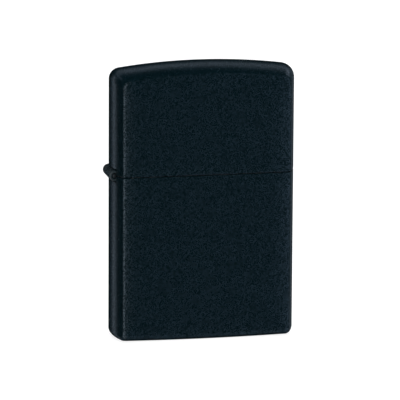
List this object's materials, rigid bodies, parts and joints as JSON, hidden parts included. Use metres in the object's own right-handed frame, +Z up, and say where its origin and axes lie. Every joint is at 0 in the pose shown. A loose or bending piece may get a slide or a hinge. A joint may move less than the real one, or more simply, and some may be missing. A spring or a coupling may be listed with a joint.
{
  "type": "lighter",
  "caption": "Slim rectangular pocket lighter with a side-hinged flip lid, softly bowed edges and a black textured coating over a wick insert with a perforated windscreen.",
  "frame": {"origin": "centre of the flat base, on the surface the lighter stands on", "axes": "+X to the right away from the hinge, +Y from the front panel to the back panel, +Z up towards the lid"},
  "size_m": [0.039, 0.0126, 0.0571],
  "materials": {
    "black_coating": "fine-grained matt black coating",
    "hinge_black": "black coating rubbed to a soft shine",
    "insert_steel": "brushed",
    "wheel_steel": "hardened and knurled",
    "brass": "satin",
    "flint": "matt sintered",
    "cotton": "braided",
    "packing": "loose fibre",
    "felt": "pressed felt"
  },
  "bodies": {
    "case": {"case_bottom": "black_coating", "hinge_leaf_case": "hinge_black", "hinge_pin": "insert_steel", "insert_shell": "insert_steel", "chimney": "insert_steel", "cam_pin": "insert_steel", "cam_spring": "insert_steel", "cam_spring_rivet": "brass", "wheel_axle": "insert_steel", "flint_tube": "brass", "flint_spring": "insert_steel", "flint_screw": "brass", "wick": "cotton", "packing_ball_1": "packing", "packing_ball_2": "packing", "packing_ball_3": "packing", "packing_ball_4": "packing", "packing_ball_5": "packing", "felt_pad": "felt"},
    "lid": {"lid": "black_coating", "hinge_leaf_lid": "hinge_black"},
    "cam": {"cam": "insert_steel"},
    "wheel": {"flint_wheel": "wheel_steel"},
    "flint_feed": {"flint": "flint", "flint_tip": "brass"}
  },
  "joints": [
    {"name": "lid_hinge", "type": "hinge", "parent": "case", "child": "lid", "pos_m": [-0.01865, 0, 0.0345], "axis": [0, -1, 0], "range_deg": [0, 130]},
    {"name": "cam_pivot", "type": "hinge", "parent": "case", "child": "cam", "pos_m": [-0.0124, 0, 0.038], "axis": [0, -1, 0], "range_deg": [0, 30]},
    {"name": "wheel_spin", "type": "hinge", "parent": "case", "child": "wheel", "pos_m": [0.012, 0, 0.0438], "axis": [0, -1, 0], "continuous": true},
    {"name": "flint_feed", "type": "slide", "parent": "case", "child": "flint_feed", "axis": [0, 0, 1], "range_m": [-0.003, 0], "stiffness_N_per_m": 200, "springref_m": 0.002, "deforming": ["flint_spring"]}
  ],
  "couplings": [
    {"joint": "cam_pivot", "follows": "lid_hinge", "ratio": 0.23}
  ]
}
